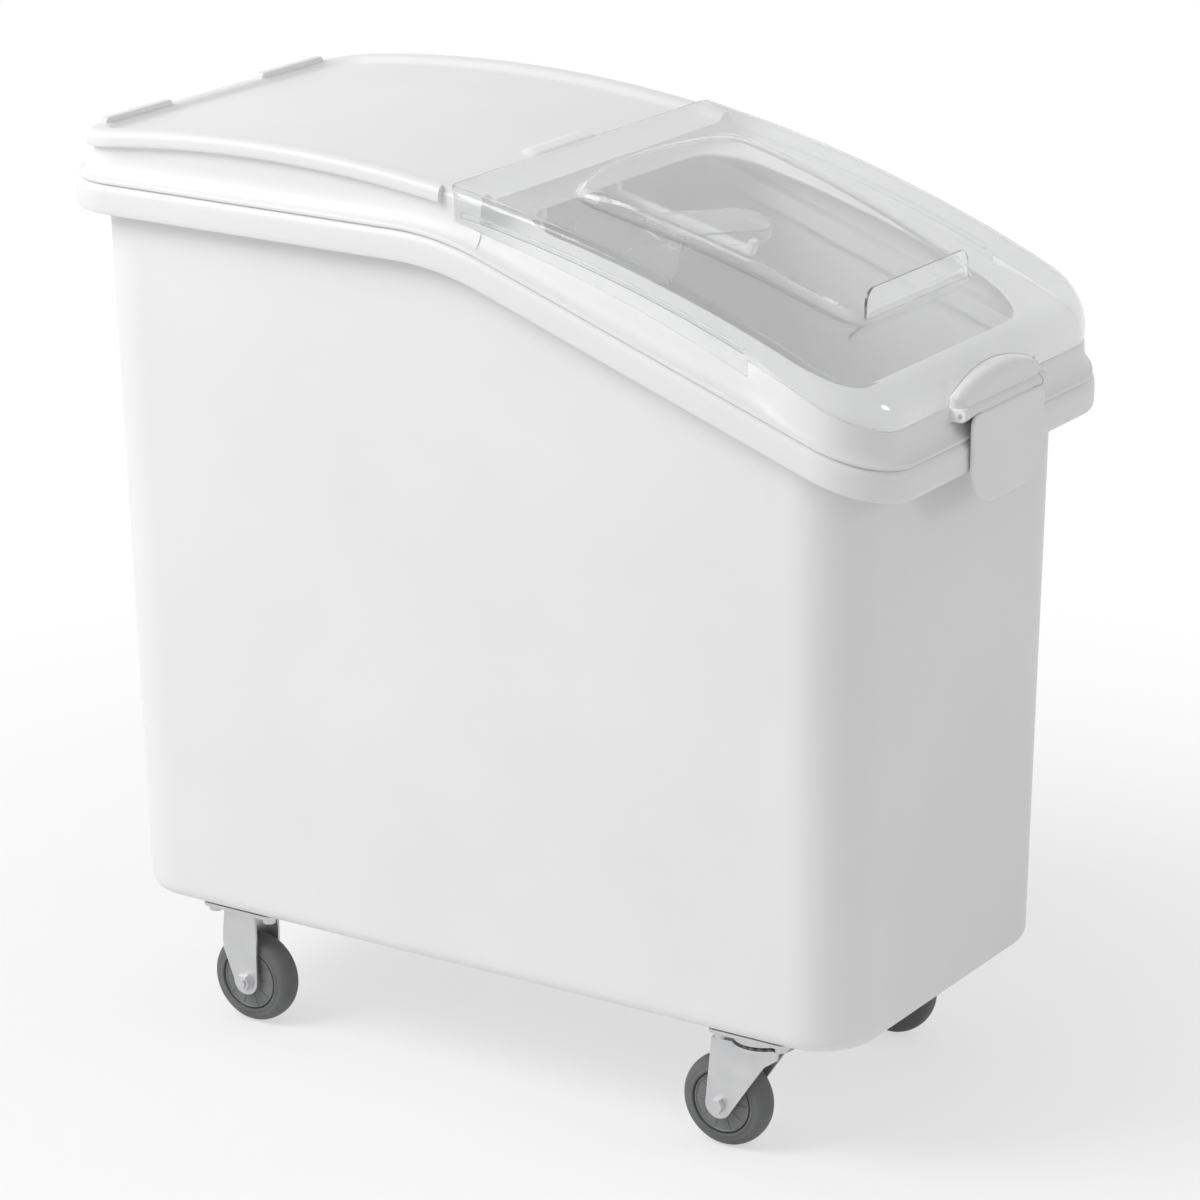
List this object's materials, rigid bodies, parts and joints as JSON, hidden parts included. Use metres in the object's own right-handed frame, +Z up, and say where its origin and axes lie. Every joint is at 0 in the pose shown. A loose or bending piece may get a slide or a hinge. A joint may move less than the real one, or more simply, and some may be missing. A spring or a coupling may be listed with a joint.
{
  "type": "ingredient bin",
  "caption": "Wheeled food bin with a tapered white tub, a slanted mouth, a white lid frame, a clear arched lid that slides back, a front latch and a scoop under the lid.",
  "frame": {"origin": "on the floor, under the middle of the bin's outer box", "axes": "+X points to the low front with the latch, +Y to the bin's left side, +Z up"},
  "size_m": [0.7537, 0.384, 0.7516],
  "materials": {
    "white_plastic": "satin white moulded plastic",
    "clear_plastic": "clear glossy moulded plastic",
    "zinc_steel": "bright zinc-plated pressed steel",
    "grey_plastic": "dark grey moulded plastic",
    "grey_rubber": "dark grey soft tread"
  },
  "bodies": {
    "bin": {"tub": "white_plastic", "plate_screws": "zinc_steel", "plate_washers": "zinc_steel", "rear_left_fork": "zinc_steel", "rear_left_axle_bolt": "zinc_steel", "rear_left_axle_nut": "zinc_steel", "rear_left_axle_sleeve": "zinc_steel", "front_left_top_plate": "zinc_steel", "front_left_kingpin": "zinc_steel", "front_left_swivel_balls": "zinc_steel", "rear_right_fork": "zinc_steel", "rear_right_axle_bolt": "zinc_steel", "rear_right_axle_nut": "zinc_steel", "rear_right_axle_sleeve": "zinc_steel", "front_right_top_plate": "zinc_steel", "front_right_kingpin": "zinc_steel", "front_right_swivel_balls": "zinc_steel"},
    "lid": {"lid_frame": "white_plastic", "latch_pins": "zinc_steel", "scoop": "clear_plastic"},
    "sliding_lid": {"clear_lid": "clear_plastic"},
    "latch": {"latch": "white_plastic"},
    "rear_left_wheel": {"rear_left_hub": "grey_plastic", "rear_left_tyre": "grey_rubber"},
    "front_left_swivel": {"front_left_fork": "zinc_steel", "front_left_axle_bolt": "zinc_steel", "front_left_axle_nut": "zinc_steel", "front_left_axle_sleeve": "zinc_steel"},
    "front_left_wheel": {"front_left_hub": "grey_plastic", "front_left_tyre": "grey_rubber"},
    "rear_right_wheel": {"rear_right_hub": "grey_plastic", "rear_right_tyre": "grey_rubber"},
    "front_right_swivel": {"front_right_fork": "zinc_steel", "front_right_axle_bolt": "zinc_steel", "front_right_axle_nut": "zinc_steel", "front_right_axle_sleeve": "zinc_steel"},
    "front_right_wheel": {"front_right_hub": "grey_plastic", "front_right_tyre": "grey_rubber"}
  },
  "joints": [
    {"name": "lid_lift", "type": "slide", "parent": "bin", "child": "lid", "axis": [0, 0, 1], "range_m": [0, 0.2]},
    {"name": "lid_slide", "type": "hinge", "parent": "lid", "child": "sliding_lid", "pos_m": [-0.184, 0, -0.44], "axis": [0, -1, 0], "range_deg": [0, 15.5]},
    {"name": "latch_swing", "type": "hinge", "parent": "lid", "child": "latch", "pos_m": [0.3695, 0, 0.59136], "axis": [0, -1, 0], "range_deg": [0, 95]},
    {"name": "rear_left_roll", "type": "hinge", "parent": "bin", "child": "rear_left_wheel", "pos_m": [-0.236, 0.13, 0.0375], "axis": [0, 1, 0], "continuous": true},
    {"name": "front_left_turn", "type": "hinge", "parent": "bin", "child": "front_left_swivel", "pos_m": [0.247, 0.13, 0.09], "axis": [0, 0, 1], "continuous": true},
    {"name": "front_left_roll", "type": "hinge", "parent": "front_left_swivel", "child": "front_left_wheel", "pos_m": [0.217, 0.13, 0.0375], "axis": [0, 1, 0], "continuous": true},
    {"name": "rear_right_roll", "type": "hinge", "parent": "bin", "child": "rear_right_wheel", "pos_m": [-0.236, -0.13, 0.0375], "axis": [0, 1, 0], "continuous": true},
    {"name": "front_right_turn", "type": "hinge", "parent": "bin", "child": "front_right_swivel", "pos_m": [0.247, -0.13, 0.09], "axis": [0, 0, 1], "continuous": true},
    {"name": "front_right_roll", "type": "hinge", "parent": "front_right_swivel", "child": "front_right_wheel", "pos_m": [0.217, -0.13, 0.0375], "axis": [0, 1, 0], "continuous": true}
  ]
}
